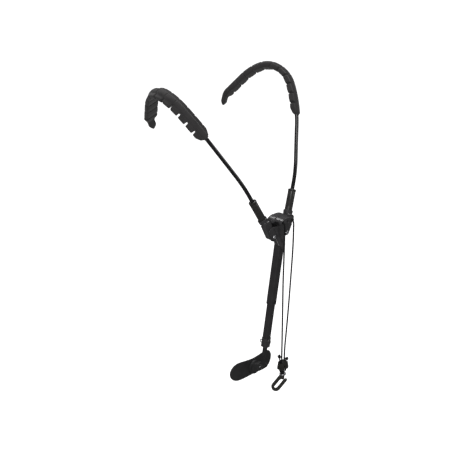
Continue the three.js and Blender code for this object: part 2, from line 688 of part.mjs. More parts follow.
function plateWasher() {
  const washer = roundY(5.2, DISC.front - 0.5 - GAP - 0.8, DISC.front - 0.5 - GAP, 16, 0, PLATE_Z);
  const hole = roundY(1.6, DISC.front - 5, DISC.front + 5, 10, 0, PLATE_Z);
  return piece("plate_washer", washer.subtract(hole), brightSteel());
}

function plateScrew() {
  const under = DISC.front - 0.5 - 2 * GAP - 0.8;
  const head = roundY(2.8, under - 1.5, under, 12, 0, PLATE_Z);
  const shaft = roundY(1.2, under - 0.1, PLATE_FRONT_Y - 1.4, 10, 0, PLATE_Z);
  return piece("plate_screw", head.add(shaft), brightSteel());
}

// ---- the cord and what hangs on it ------------------------------------------------------------------
const LOOP_FOOT = SLIDER.foot - LOOP_DROP; // lowest point of the loops' middle line
const frontRow = SLIDER.y - LOOP_STEP;
const backRow = SLIDER.y + LOOP_STEP;

// Each strand leaves its hole in the nose forwards and down, and then hangs to the slider.
const LEFT_STRAND = [
  [-10, -17.5, 44.9],
  [-10, -19.2, 42.6],
  [-9.8, -19.5, 28],
  [-9.3, -18.8, 0],
  [-8.9, -17.5, -50],
  [-8.2, -16.9, -100],
  [-7.4, -16.2, -140],
  [-6.7, -15.5, -165],
  [-6.5, -15.15, -186.2],
];
const RIGHT_STRAND = [
  [10, -17.5, 44.9],
  [10.1, -19.2, 42.6],
  [10.7, -19.2, 28],
  [11.4, -18, 0],
  [9.8, -16.3, -50],
  [7.4, -14.8, -100],
  [5.2, -13.3, -140],
  [3.9, -12.2, -165],
  [3.5, -11.85, -186.2],
];

function loopPoints(y) {
  const points = [[SLIDER.x - LOOP_HALF, y, SLIDER.foot - GAP]];
  for (let degrees = 180; degrees <= 360; degrees += 22.5) {
    const across = LOOP_HALF * Math.cos(radians(degrees));
    points.push([SLIDER.x + across, y, LOOP_FOOT + LOOP_BELLY * (1 + Math.sin(radians(degrees)))]);
  }
  points.push([SLIDER.x + LOOP_HALF, y, SLIDER.foot - GAP]);
  return points;
}

function cords() {
  return [
    piece("cord_left", cordAlong(LEFT_STRAND, CORD_RADIUS, 34), cordFibre()),
    piece("cord_right", cordAlong(RIGHT_STRAND, CORD_RADIUS, 34), cordFibre()),
    piece("cord_loop_front", cordAlong(loopPoints(frontRow), CORD_RADIUS, 12), cordFibre()),
    piece("cord_loop_back", cordAlong(loopPoints(backRow), CORD_RADIUS, 12), cordFibre()),
  ];
}

const CORD_SLOT = { wide: 3.1, deep: 6.6, corner: 1.5 };

function cordSlider() {
  const { x, y, top, foot, halfTop, halfFoot, deep } = SLIDER;
  const shape = new THREE.Shape();
  shape.moveTo(-halfFoot + 3, foot);
  shape.lineTo(-2, foot + 1.5);
  shape.lineTo(2, foot + 1.5);
  shape.lineTo(halfFoot - 3, foot);
  shape.quadraticCurveTo(halfFoot + 1, foot, halfFoot, foot + 5);
  shape.lineTo(halfTop, foot + 9);
  shape.lineTo(halfTop - 0.6, top - 2);
  shape.quadraticCurveTo(halfTop - 1, top, halfTop - 3, top);
  shape.lineTo(3 - halfTop, top);
  shape.quadraticCurveTo(1 - halfTop, top, 0.6 - halfTop, top - 2);
  shape.lineTo(-halfTop, foot + 9);
  shape.lineTo(-halfFoot, foot + 5);
  shape.quadraticCurveTo(-halfFoot - 1, foot, -halfFoot + 3, foot);
  const body = slab(shape, -deep / 2, deep / 2, 5).translate([x, y, 0]);
  const slots = [-1, 1].map((sign) =>
    column(CORD_SLOT, foot - 1, top + 1).translate([x + sign * LOOP_HALF, y, 0]),
  );
  const window = roundY(1.9, y - 10, y + 10, 12, x, foot + 6);
  return piece("cord_slider", cut(body, [...slots, window]), sliderPlastic());
}

// The two ends of the cord come up through the slots and are knotted: the left one on a stem behind its
// strand, and the right one against the slider, before its strand.
function knot(side, sign, row, middle, size) {
  const slotX = SLIDER.x + sign * LOOP_HALF;
  const matrix = at(...middle).multiply(new THREE.Matrix4().makeScale(...size));
  const ball = solid(new THREE.SphereGeometry(1, 10, 7), matrix);
  const stem = roundZ(CORD_RADIUS, SLIDER.top + GAP, middle[2], 8, slotX, row);
  return piece(`cord_knot_${side}`, ball.add(stem), cordFibre());
}

// An inverted U of wire over both loops, on a barrel that the hook turns in.
const BAIL = { wire: 0.9, half: 4.2, top: LOOP_FOOT + CORD_RADIUS + 1.1 };
const BARREL = { radius: 5.2, top: LOOP_FOOT - CORD_RADIUS - 0.6, foot: LOOP_FOOT - CORD_RADIUS - 4 };

function swivelBail() {
  const { wire, half, top } = BAIL;
  const points = [[0, -half, BARREL.top - 1]];
  points.push([0, -half, top - 2.4], [0, -half + 0.9, top - 0.6], [0, -half + 2.6, top]);
  points.push([0, half - 2.6, top], [0, half - 0.9, top - 0.6], [0, half, top - 2.4]);
  points.push([0, half, BARREL.top - 1]);
  const arch = solid(cordAlong(points, wire, 18));
  const barrel = roundZ(BARREL.radius, BARREL.foot, BARREL.top, 16);
  const bore = roundZ(1.5 + GAP, BARREL.foot - 1, BARREL.top - 0.8, 12);
  const headRoom = roundZ(2.4 + GAP, BARREL.foot + 1.1, BARREL.top - 0.8, 12);
  return piece("swivel_bail", cut(arch.add(barrel), [bore, headRoom]), brightSteel());
}

function hookStem() {
  const head = roundZ(2.4, BARREL.foot + 1.1 + GAP, BARREL.top - 0.8 - GAP, 12);
  const shaft = roundZ(1.5, BARREL.foot - 4, BARREL.foot + 1.6, 12);
  return piece("hook_stem", head.add(shaft), brightSteel());
}

// The open hook, drawn in its own plane: a broad shank, a round seat and a straight tip.
const HOOK = { thick: 4.6, limb: 4.4, shank: 1.2, seat: 5.1, lean: 37, tipLength: 20.5 };
function hook() {
  const { thick, limb, shank, seat, lean, tipLength } = HOOK;
  const shankTop = BARREL.foot - GAP;
  const backLength = 19;
  const shape = new THREE.Shape();
  const outer = seat + limb / 2;
  const inner = seat - limb / 2;
  shape.moveTo(-outer, backLength + 1.5);
  shape.lineTo(-outer, 0);
  shape.absarc(0, 0, outer, Math.PI, 2 * Math.PI);
  shape.lineTo(outer, tipLength - 3);
  shape.quadraticCurveTo(outer - 0.2, tipLength, outer - 1.6, tipLength);
  shape.quadraticCurveTo(outer - 3.4, tipLength, inner, tipLength - 6);
  shape.lineTo(inner, 0);
  shape.absarc(0, 0, inner, 2 * Math.PI, Math.PI, true);
  shape.lineTo(-inner, backLength - 6);
  shape.lineTo(shank - inner, backLength - 2.5);
  shape.lineTo(shank - inner, backLength + 1.5);
  const middleX = -outer + (limb + shank) / 2 + 0.6;
  const matrix = at(0, 0, shankTop).multiply(aboutY(lean)).multiply(at(-middleX, 0, -backLength - 3.4));
  const bent = slab(shape, -thick / 2, thick / 2, 5).transform(matrix.elements);
  const collar = roundZ(2.9, shankTop - 7, shankTop, 12);
  const stemHole = roundZ(1.5 + GAP, shankTop - 4.5, shankTop + 1, 12);
  const above = box([-20, -20, shankTop], [20, 20, shankTop + 20]);
  return piece("hook", cut(bent.add(collar), [stemHole, above]), hookMetal());
}

function hangingParts() {
  const { x, y, top } = SLIDER;
  const onSwivel = group([x, y, 0], [0, 0, 0], swivelBail());
  const turning = group([x, y, 0], [0, 0, HOOK_TURN], hookStem(), hook());
  return [
    cordSlider(),
    knot("left", -1, backRow, [x - LOOP_HALF - 0.3, backRow + 1.55, top + 8.5], [3.4, 3.2, 3.8]),
    knot("right", 1, frontRow, [x + LOOP_HALF + 0.3, frontRow - 1.9, top + 3.6], [3, 2.8, 3.2]),
    onSwivel,
    turning,
  ];
}

// ---- the harness ------------------------------------------------------------------------------------
const harness = new THREE.Group();
harness.position.set(0, -PADS_BEHIND_HUB, -HUB_BELOW_PADS);
harness.add(hubBody(), hubFrontPlate());
for (const { side, sign } of ARMS) harness.add(hingeScrew(side, sign), hingeNut(side, sign));
for (const arm of ARMS) harness.add(makeArm(arm));
harness.add(bar());
harness.add(plateKnuckle(), tiltPin(), bellyPlate(), plateWasher(), plateScrew());
harness.add(...cords(), ...hangingParts());

const part = new THREE.Group();
part.add(harness);
export default part;
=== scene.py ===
import json
import math

import bmesh
import bpy
from mathutils import Matrix, Vector


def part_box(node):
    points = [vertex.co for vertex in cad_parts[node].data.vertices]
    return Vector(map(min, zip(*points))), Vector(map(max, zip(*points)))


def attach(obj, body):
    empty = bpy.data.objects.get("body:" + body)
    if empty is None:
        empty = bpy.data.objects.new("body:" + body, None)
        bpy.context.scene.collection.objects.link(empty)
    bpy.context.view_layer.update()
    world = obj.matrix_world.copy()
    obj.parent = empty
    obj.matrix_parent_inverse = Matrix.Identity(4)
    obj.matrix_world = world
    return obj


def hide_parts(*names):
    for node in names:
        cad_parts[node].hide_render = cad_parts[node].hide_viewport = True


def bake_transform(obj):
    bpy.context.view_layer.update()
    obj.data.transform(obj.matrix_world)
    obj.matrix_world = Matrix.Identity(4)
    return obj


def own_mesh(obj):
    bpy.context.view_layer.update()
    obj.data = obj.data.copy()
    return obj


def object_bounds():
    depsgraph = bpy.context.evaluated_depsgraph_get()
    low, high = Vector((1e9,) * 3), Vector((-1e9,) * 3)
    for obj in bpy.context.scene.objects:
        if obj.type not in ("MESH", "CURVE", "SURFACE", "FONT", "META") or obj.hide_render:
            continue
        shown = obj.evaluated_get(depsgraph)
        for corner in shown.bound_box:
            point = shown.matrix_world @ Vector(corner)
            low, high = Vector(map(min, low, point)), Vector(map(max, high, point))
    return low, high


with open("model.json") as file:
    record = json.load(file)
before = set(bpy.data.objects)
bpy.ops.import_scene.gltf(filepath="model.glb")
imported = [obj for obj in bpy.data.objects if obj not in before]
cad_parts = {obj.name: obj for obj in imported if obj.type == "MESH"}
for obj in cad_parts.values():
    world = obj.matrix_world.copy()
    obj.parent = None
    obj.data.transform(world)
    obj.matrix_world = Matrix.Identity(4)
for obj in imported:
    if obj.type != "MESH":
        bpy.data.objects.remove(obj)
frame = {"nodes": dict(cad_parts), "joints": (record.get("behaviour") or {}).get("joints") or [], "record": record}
CAD_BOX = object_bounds()

# The looks of a saxophone's shoulder harness. Lengths below are in metres, except where a name or
# comment says millimetres. The part's frame has +X across the wearer, -Y at the front and +Z up.

MM = 0.001

# ---- places, from the frame ------------------------------------------------------------------
RECORD = frame["record"]
JOINTS = {joint["name"]: joint for joint in frame["joints"]}
BODY_OF = {
    node: body for body, nodes in RECORD["behaviour"]["bodies"].items() for node in nodes
}
SLOT_OF = {part["node"]: part["material_slot"] for part in RECORD["subparts"]}

# The hub's own point is the middle of the bar's top. These place a hinge from it, in millimetres.
HINGE_Y = 2.4
HINGE_Z = 20.5
LEFT_HINGE = Vector(JOINTS["left_arm_fold"]["pos_m"])
RIGHT_HINGE = Vector(JOINTS["right_arm_fold"]["pos_m"])
HUB_POINT = (LEFT_HINGE + RIGHT_HINGE) / 2 - Vector((0, HINGE_Y, HINGE_Z)) * MM
BAR_AXIS = Vector(JOINTS["bar_slide"]["axis"])
BAR_TILT = math.atan2(BAR_AXIS.y, -BAR_AXIS.z)
IN_HUB = Matrix.Translation(HUB_POINT) @ Matrix.Scale(MM, 4)
IN_BAR = IN_HUB @ Matrix.Rotation(BAR_TILT, 4, "X")

# ---- driving dimensions, in millimetres ------------------------------------------------------
ROD_RADIUS = 3.0
ROD_ZERO = 31  # from an arm's hinge to where its rod is measured from
ROD_START = 3
ROD_END = 345  # inside the pad
SLEEVE = {"radius": 5.9, "foot": 28.8, "top": 63.3, "bore": ROD_RADIUS + 0.3}
SLEEVE_RING = {"radius": 6.2, "foot": 63.6, "top": 66.6, "bore": ROD_RADIUS + 0.25}
# Each stretch of the rod is a length, the angle that it turns through towards the wearer, and the
# angle that it turns through away from the middle. "sway" is each arm's own.
ROD_STRETCHES = [
    (44, 0, 0),
    (40, 10, "sway"),
    (53, -0.5, 0.5),
    (72, 16.5, -4),
    (42, 44.5, -6),
    (29, 45, -2),
    (32, 22.5, 3),
    (34, 0, 0),
    (9, 36, 0),
    (14, 0, 0),
]
# "turn" is how far the rod is turned in its sleeve.
ARMS = {
    "left": {"sign": -1, "turn": 2.5, "sway": 3.5},
    "right": {"sign": 1, "turn": 11.5, "sway": 0},
}
PAD_START = 156.5
PAD_END = sum(length for length, turn, side in ROD_STRETCHES)
PAD_HALF = 10.9
PAD_MOUTH_HALF = 6.9  # where the rod goes in
PAD_OUTER = 5.2  # from the rod's middle out to the ridge's top
PAD_MOUTH_INNER = 4.8  # from the rod's middle to the inner face, where the rod goes in
PAD_SWELL = 2  # how much thicker the pad is past its mouth
PAD_RIDGE_HALF = 4.6
PAD_WING_TOP = 1.1
TONGUE_HALF = 5.7
TONGUE_HALF_THICK = 4.0
TONGUE_RIDGE_HALF = 2.9
PAD_SLIT_PITCH = 16.5
PAD_FIRST_SLIT = PAD_START + 18.5
PAD_SLITS = 11
PAD_SLIT_WIDTH = 2.7
PAD_CORE_HALF = 5.0  # from the pad's middle to an open slit's bottom
PAD_CROWN = (205, 320)  # where the pad bends over the shoulder, along the rod
PAD_OPEN_TO = 262  # beyond this the slits are closed

OUTER_TUBE = {"wide": 12.2, "deep": 12.6, "corner": 2.6, "wall": 0.85, "foot": -99, "top": 4}
INNER_TUBE = {"wide": 10.0, "deep": 10.4, "corner": 2.0, "wall": 0.9, "foot": -172, "top": -6}
BUTTON_AT = -16.5
HEIGHT_STEP = 77  # from one button hole to the other
BUTTON_RADIUS = 2.4
BUTTON_PROUD = 1  # of the outer tube's face
BUTTON_FLANGE_AT = 0.3  # behind the inner tube's front wall

PLATE_HALF_LENGTH = 49
PLATE_LOBE_HALF = 15.5
PLATE_WAIST_HALF = 13.75
PLATE_THICK = 3
PLATE_BEND = 230  # radius of its front face round the belly
PLATE_FRONT_Y = 49.8
PLATE_Z = -218.5
PLATE_MIDDLING_HALF = 22  # between its half length and its half height
PLATE_SHARES = (0.02, 0.25, 0.5, 0.7, 0.82, 0.9)  # of the outline, out over each face
STUD = {"radius": 4, "length": 5.6, "in_front": 4.8}

CORD_RADIUS = 1.25
SLIDER_X = -1.5
SLIDER_Y = -13.5
SLIDER_TOP = -186.5
SLIDER_FOOT = -200.5
LOOP_HALF = 5  # from the slider's middle to a slot's
LOOP_STEP = 1.65  # from the slider's middle to each loop, forwards and back
LOOP_DROP = 4.5  # from the slider's foot to a loop's lowest point
LOOP_BELLY = 3.8  # how deep a loop's round part is
LOOP_FOOT = SLIDER_FOOT - LOOP_DROP
BAIL_HALF = 4.2
BAIL_RADIUS = 0.9
BAIL_TOP = LOOP_FOOT + CORD_RADIUS + 1.1
BARREL_TOP = LOOP_FOOT - CORD_RADIUS - 0.6
BARREL_FOOT = LOOP_FOOT - CORD_RADIUS - 4
STEM_DROP = 4  # from the barrel's foot to the stem's, inside the hook

# Each strand starts in its sloped hole in the hub's nose, comes out forwards and down, and hangs.
LEFT_STRAND = [
    (-10, -12.6, 46.4),
    (-10, -16.0, 45.4),
    (-10, -17.5, 44.9),
    (-10, -19.2, 42.6),
    (-9.8, -19.5, 28),
    (-9.3, -18.8, 0),
    (-8.9, -17.5, -50),
    (-8.2, -16.9, -100),
    (-7.4, -16.2, -140),
    (-6.7, -15.5, -165),
    (-6.5, -15.15, -186.2),
    (-6.5, -15.15, -190),
]
RIGHT_STRAND = [
    (10, -12.6, 46.4),
    (10, -16.0, 45.4),
    (10, -17.5, 44.9),
    (10.1, -19.2, 42.6),
    (10.7, -19.2, 28),
    (11.4, -18, 0),
    (9.8, -16.3, -50),
    (7.4, -14.8, -100),
    (5.2, -13.3, -140),
    (3.9, -12.2, -165),
    (3.5, -11.85, -186.2),
    (3.5, -11.85, -190),
]


# ---- mesh helpers ----------------------------------------------------------------------------
def in_hub(point):
    """A point given in millimetres from the hub's own point."""
    return IN_HUB @ Vector(point)


def add_object(name, mesh):
    obj = bpy.data.objects.new(name, mesh)
    bpy.context.collection.objects.link(obj)
    return obj


def mesh_from(name, points, faces):
    """A mesh whose faces all point outwards."""
    mesh = bpy.data.meshes.new(name)
    mesh.from_pydata([tuple(p) for p in points], [], faces)
    shape = bmesh.new()
    shape.from_mesh(mesh)
    bmesh.ops.recalc_face_normals(shape, faces=shape.faces)
    shape.to_mesh(mesh)
    shape.free()
    return mesh


def skin(name, rings, ends=True):
    """A skin over rings that all have the same number of points, closed at both ends if asked."""
    count = len(rings[0])
    points = [p for ring in rings for p in ring]
    faces = []
    for ring in range(len(rings) - 1):
        for i in range(count):
            a = ring * count + i
            b = ring * count + (i + 1) % count
            faces.append((a, b, b + count, a + count))
    if ends:
        last = (len(rings) - 1) * count
        faces.append(tuple(range(count - 1, -1, -1)))
        faces.append(tuple(last + i for i in range(count)))
    mesh = mesh_from(name, points, faces)
    lay_uv(mesh, rings)
    return add_object(name, mesh)


def lay_uv(mesh, rings):
    """A UV map: U goes once round the rings, and V is the distance along in lengths of one ring."""
    count = len(rings[0])
    middles = [sum((Vector(p) for p in ring), Vector()) / count for ring in rings]
    first = [Vector(p) for p in rings[len(rings) // 2]]
    girth = sum((first[i] - first[i - 1]).length for i in range(count))
    along = [0.0]
    for before, after in zip(middles, middles[1:]):
        along.append(along[-1] + (after - before).length / girth)
    layer = mesh.uv_layers.new(name="wrap")
    for face in mesh.polygons:
        corners = [mesh.loops[i].vertex_index % count for i in face.loop_indices]
        wraps = max(corners) - min(corners) > count / 2
        for i in face.loop_indices:
            vertex = mesh.loops[i].vertex_index
            round_it = vertex % count
            if wraps and round_it < count / 2:
                round_it += count
            layer.data[i].uv = (round_it / count, along[vertex // count])


def ring_about(centre, side_a, side_b, radius, sides):
    ring = []
    for i in range(sides):
        angle = 2 * math.pi * i / sides
        ring.append(centre + (side_a * math.cos(angle) + side_b * math.sin(angle)) * radius)
    return ring


def smooth_path(points, steps):
    """A centripetal Catmull-Rom curve through points, with that many steps in each span."""
    points = [Vector(p) for p in points]
    padded = [2 * points[0] - points[1], *points, 2 * points[-1] - points[-2]]
    path = []
    for p0, p1, p2, p3 in zip(padded, padded[1:], padded[2:], padded[3:]):
        t0 = 0.0
        t1 = t0 + math.sqrt((p1 - p0).length)
        t2 = t1 + math.sqrt((p2 - p1).length)
        t3 = t2 + math.sqrt((p3 - p2).length)
        for step in range(steps):
            t = t1 + (t2 - t1) * step / steps
            a1 = p0.lerp(p1, (t - t0) / (t1 - t0))
            a2 = p1.lerp(p2, (t - t1) / (t2 - t1))
            a3 = p2.lerp(p3, (t - t2) / (t3 - t2))
            b1 = a1.lerp(a2, (t - t0) / (t2 - t0))
            b2 = a2.lerp(a3, (t - t1) / (t3 - t1))
            path.append(b1.lerp(b2, (t - t1) / (t2 - t1)))
    path.append(points[-1])
    return path


def tube_along(name, path, radius, sides=16):
    """A round tube along a path, turned as little as possible on the way."""
    side = (path[1] - path[0]).normalized().orthogonal().normalized()
    rings = []
    for i, centre in enumerate(path):
        before = path[max(i - 1, 0)]
        after = path[min(i + 1, len(path) - 1)]
        heading = (after - before).normalized()
        side = (side - heading * side.dot(heading)).normalized()
        rings.append(ring_about(centre, side, heading.cross(side), radius, sides))
    return skin(name, rings)


def turned(name, origin, axis, profile, sides=48):
    """A turned piece: profile lists (distance along the axis, radius) in millimetres."""
    axis = Vector(axis).normalized()
    side = axis.orthogonal().normalized()
    other = axis.cross(side)
    rings = [
        ring_about(Vector(origin) + axis * along * MM, side, other, max(radius, 0.02) * MM, sides)
        for along, radius in profile
    ]
    return skin(name, rings)


def applied(obj):
    """obj with its modifiers applied to its mesh."""
    graph = bpy.context.evaluated_depsgraph_get()
    done = bpy.data.meshes.new_from_object(obj.evaluated_get(graph))
    obj.modifiers.clear()
    obj.data = done
    return obj


def copy_of(node, name):
    """A copy of a CAD node's mesh with its split vertices merged and its flat faces joined up."""
    mesh = frame["nodes"][node].data.copy()
    mesh.name = name
    mesh.materials.clear()
    shape = bmesh.new()
    shape.from_mesh(mesh)
    bmesh.ops.remove_doubles(shape, verts=shape.verts, dist=0.002 * MM)
    bmesh.ops.dissolve_limit(
        shape, angle_limit=math.radians(1), verts=shape.verts, edges=shape.edges
    )
    shape.to_mesh(mesh)
    shape.free()
    return add_object(name, mesh)


def moulded(node, name, voxel, rounding, keep=0.5):
    """A CAD node as a moulding: its sharp corners and facets are rounded off. The voxel is in
    millimetres, rounding counts the smoothing passes and keep is the share of faces kept."""
    obj = copy_of(node, name)
    remesh = obj.modifiers.new("remesh", "REMESH")
    remesh.mode = "VOXEL"
    remesh.voxel_size = voxel * MM
    soften = obj.modifiers.new("soften", "SMOOTH")
    soften.factor = 0.5
    soften.iterations = rounding
    thin = obj.modifiers.new("thin", "DECIMATE")
    thin.ratio = keep
    return applied(obj)


def bevelled(node, name, width):
    """A CAD node with small bevels on its sharp edges."""
    obj = copy_of(node, name)
    bevel = obj.modifiers.new("bevel", "BEVEL")
    bevel.width = width * MM
    bevel.segments = 3
    bevel.limit_method = "ANGLE"
    bevel.angle_limit = math.radians(28)
    return applied(obj)


def drill(obj, start, end, radius):
    """A round hole through obj from one point to another."""
    axis = Vector(end) - Vector(start)
    cutter = turned("cutter", start, axis, [(0, radius), (axis.length / MM, radius)], 32)
    hole = obj.modifiers.new("hole", "BOOLEAN")
    hole.operation = "DIFFERENCE"
    hole.solver = "EXACT"
    hole.object = cutter
    applied(obj)
    bpy.data.objects.remove(cutter)


def joined(name, objects):
    """Several meshes as one object."""
    shape = bmesh.new()
    for obj in objects:
        shape.from_mesh(obj.data)
    mesh = bpy.data.meshes.new(name)
    shape.to_mesh(mesh)
    shape.free()
    for obj in objects:
        bpy.data.objects.remove(obj)
    return add_object(name, mesh)


def dress(obj, node, sharp=35, ride=True):
    """Gives a piece its material and shading, and sets it in the place of its CAD node."""
    obj.data.materials.clear()
    obj.data.materials.append(MATERIALS[SLOT_OF[node]])
    obj.data.shade_smooth()
    obj.data.set_sharp_from_angle(angle=math.radians(sharp))
    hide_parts(node)
    if ride:
        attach(obj, BODY_OF[node])
    return obj


def make_moulding(node, name, voxel, rounding, keep=0.5):
    return dress(moulded(node, name, voxel, rounding, keep), node)


def make_bevelled(node, name, width):
    return dress(bevelled(node, name, width), node)


# ---- material helpers ------------------------------------------------------------------------
def start_material(name, colour, roughness, metallic=0.0, **more):
    """A material with its average looks. The functions below vary them over the surface."""
    material = bpy.data.materials.new(name)
    material.use_nodes = True
    shader = material.node_tree.nodes["Principled BSDF"]
    shader.inputs["Base Color"].default_value = (*colour, 1)
    shader.inputs["Roughness"].default_value = roughness
    shader.inputs["Metallic"].default_value = metallic
    for socket, value in more.items():
        shader.inputs[socket.replace("_", " ")].default_value = value
    return material


def add_node(material, kind, **values):
    node = material.node_tree.nodes.new(kind)
    for name, value in values.items():
        socket = name.replace("_", " ")
        if socket in node.inputs:
            node.inputs[socket].default_value = value
        else:
            setattr(node, name, value)
    return node


def link(material, out_socket, in_socket):
    material.node_tree.links.new(out_socket, in_socket)


def place(material, stretch=(1, 1, 1)):
    """Coordinates that stay with the piece, in metres, stretched."""
    where = add_node(material, "ShaderNodeTexCoord")
    mapping = add_node(material, "ShaderNodeMapping")
    mapping.inputs["Scale"].default_value = stretch
    link(material, where.outputs["Object"], mapping.inputs["Vector"])
    return mapping.outputs["Vector"]


def noise(material, where, scale, detail=4.0):
    texture = add_node(material, "ShaderNodeTexNoise", Scale=scale, Detail=detail)
    link(material, where, texture.inputs["Vector"])
    return texture.outputs["Fac"]


def spread(material, factor, low, high):
    """A noise factor, which mostly lies between 0.3 and 0.7, stretched to run from low to high."""
    mapped = add_node(material, "ShaderNodeMapRange")
    mapped.inputs["From Min"].default_value = 0.3
    mapped.inputs["From Max"].default_value = 0.7
    mapped.inputs["To Min"].default_value = low
    mapped.inputs["To Max"].default_value = high
    link(material, factor, mapped.inputs["Value"])
    return mapped.outputs["Result"]


def colour_between(material, factor, dark, light):
    """Colours the surface from dark to light as the factor goes from 0.3 to 0.72."""
    ramp = add_node(material, "ShaderNodeValToRGB")
    ramp.color_ramp.elements[0].position = 0.3
    ramp.color_ramp.elements[0].color = (*dark, 1)
    ramp.color_ramp.elements[1].position = 0.72
    ramp.color_ramp.elements[1].color = (*light, 1)
    link(material, factor, ramp.inputs["Fac"])
    shader = material.node_tree.nodes["Principled BSDF"]
    link(material, ramp.outputs["Color"], shader.inputs["Base Color"])


def roughen(material, factor, low, high):
    """Varies the roughness from low to high with a noise factor."""
    shader = material.node_tree.nodes["Principled BSDF"]
    link(material, spread(material, factor, low, high), shader.inputs["Roughness"])


def bump(material, heights):
    """Bumps from several (height, strength, distance in metres), one on the other."""
    shader = material.node_tree.nodes["Principled BSDF"]
    before = None
    for height, strength, distance in heights:
        step = add_node(material, "ShaderNodeBump", Strength=strength, Distance=distance)
        link(material, height, step.inputs["Height"])
        if before is not None:
            link(material, before, step.inputs["Normal"])
        before = step.outputs["Normal"]
    link(material, before, shader.inputs["Normal"])


# ---- materials -------------------------------------------------------------------------------
def hub_plastic():
    """Black nylon moulding with a low gloss and a faint orange peel."""
    material = start_material(
        "hub_plastic", (0.058, 0.056, 0.06), 0.28, Coat_Weight=0.25, Coat_Roughness=0.18
    )
    where = place(material)
    peel = noise(material, where, 900, 2)
    grain = noise(material, where, 5200, 3)
    patches = noise(material, where, 130, 4)
    colour_between(material, patches, (0.046, 0.044, 0.047), (0.072, 0.069, 0.073))
    roughen(material, patches, 0.22, 0.34)
    bump(material, [(peel, 0.12, 0.0002), (grain, 0.06, 0.00006)])
    return material


def coated_tube():
    """Satin black coating on a tube, with fine drawing lines along it."""
    material = start_material("coated_tube", (0.038, 0.036, 0.038), 0.42, Specular_IOR_Level=0.55)
    where = place(material, (1, 1, 0.03))
    lines = noise(material, where, 2600, 3)
    patches = noise(material, place(material), 90, 5)
    colour_between(material, patches, (0.031, 0.029, 0.031), (0.047, 0.045, 0.047))
    roughen(material, lines, 0.36, 0.48)
    bump(material, [(lines, 0.08, 0.00005)])
    return material


def gloss_rod():
    """Glossy black coating on a drawn rod."""
    material = start_material(
        "gloss_rod", (0.008, 0.008, 0.009), 0.14, Coat_Weight=0.5, Coat_Roughness=0.06
    )
    where = place(material)
    patches = noise(material, where, 160, 4)
    specks = noise(material, where, 4200, 2)
    colour_between(material, patches, (0.006, 0.006, 0.007), (0.011, 0.011, 0.012))
    roughen(material, patches, 0.1, 0.18)
    bump(material, [(specks, 0.05, 0.00003)])
    return material


def coated_sleeve():
    """Satin coating on the sleeves, a little browner than the hub."""
    material = start_material(
        "coated_sleeve", (0.034, 0.033, 0.031), 0.3, Coat_Weight=0.2, Coat_Roughness=0.2
    )
    where = place(material)
    patches = noise(material, where, 210, 4)
    rings = noise(material, place(material, (0.1, 0.1, 1)), 3000, 2)
    colour_between(material, patches, (0.027, 0.026, 0.025), (0.043, 0.041, 0.039))
    roughen(material, patches, 0.24, 0.36)
    bump(material, [(rings, 0.07, 0.00004)])
    return material


def foam_rubber():
    """Matte moulded foam rubber: fine pores, a soft dusty sheen and paler and darker patches at random."""
    material = start_material(
        "foam_rubber",
        (0.05, 0.047, 0.048),
        0.85,
        Sheen_Weight=0.25,
        Sheen_Roughness=0.55,
        Specular_IOR_Level=0.35,
    )
    where = place(material)
    pores = add_node(material, "ShaderNodeTexVoronoi", Scale=2300.0)
    link(material, where, pores.inputs["Vector"])
    grain = noise(material, where, 3400, 4)
    patches = noise(material, where, 70, 5)
    colour_between(material, patches, (0.036, 0.034, 0.035), (0.062, 0.058, 0.059))
    roughen(material, patches, 0.74, 0.94)
    pits = pores.outputs["Distance"]
    bump(material, [(pits, 0.28, 0.00012), (grain, 0.3, 0.0001)])
    return material


def plate_plastic():
    """Matte dark plastic with a fine spark-eroded texture."""
    material = start_material(
        "plate_plastic", (0.036, 0.036, 0.037), 0.6, Specular_IOR_Level=0.4
    )
    where = place(material)
    texture = noise(material, where, 2600, 5)
    patches = noise(material, where, 95, 4)
    colour_between(material, patches, (0.029, 0.029, 0.03), (0.044, 0.044, 0.045))
    roughen(material, patches, 0.5, 0.7)
    bump(material, [(texture, 0.35, 0.0001)])
    return material


def bright_steel():
    """Plated steel with light turning marks and handling haze."""
    material = start_material("bright_steel", (0.66, 0.66, 0.68), 0.22, 1.0)
    where = place(material)
    haze = noise(material, where, 420, 5)
    marks = noise(material, place(material, (1, 0.15, 1)), 5200, 2)
    colour_between(material, haze, (0.5, 0.5, 0.52), (0.74, 0.74, 0.76))
    roughen(material, haze, 0.15, 0.32)
    bump(material, [(marks, 0.06, 0.00003)])
    return material


def braided_cord():
    """A black braid: two sets of strands that cross as they wind round the cord, with painted shade in the grooves
    between them and painted highlights on their crowns.
    """
    material = start_material(
        "braided_cord",
        (0.016, 0.015, 0.017),
        0.85,
        Sheen_Weight=0.08,
        Sheen_Roughness=0.4,
        Specular_IOR_Level=0.2,
    )
    uv = add_node(material, "ShaderNodeUVMap", uv_map="wrap")
    windings = []
    for turn in (-1, 1):
        mapping = add_node(material, "ShaderNodeMapping")
        mapping.inputs["Rotation"].default_value = (0, 0, turn * math.radians(38))
        link(material, uv.outputs["UV"], mapping.inputs["Vector"])
        wave = add_node(material, "ShaderNodeTexWave", Scale=2.6)
        link(material, mapping.outputs["Vector"], wave.inputs["Vector"])
        windings.append(wave.outputs["Fac"])
    crossing = add_node(material, "ShaderNodeMath", operation="MULTIPLY")
    link(material, windings[0], crossing.inputs[0])
    link(material, windings[1], crossing.inputs[1])
    braid = crossing.outputs["Value"]
    fibres = noise(material, place(material), 5200, 3)
    # The weave also colours the cord: darker in the grooves between strands and paler on their crowns. This is
    # painted shade and painted highlight that follow the braid's relief.
    colour_between(material, braid, (0.008, 0.008, 0.009), (0.024, 0.023, 0.025))
    roughen(material, fibres, 0.7, 0.9)
    bump(material, [(braid, 0.7, 0.0003), (fibres, 0.25, 0.00006)])
    return material


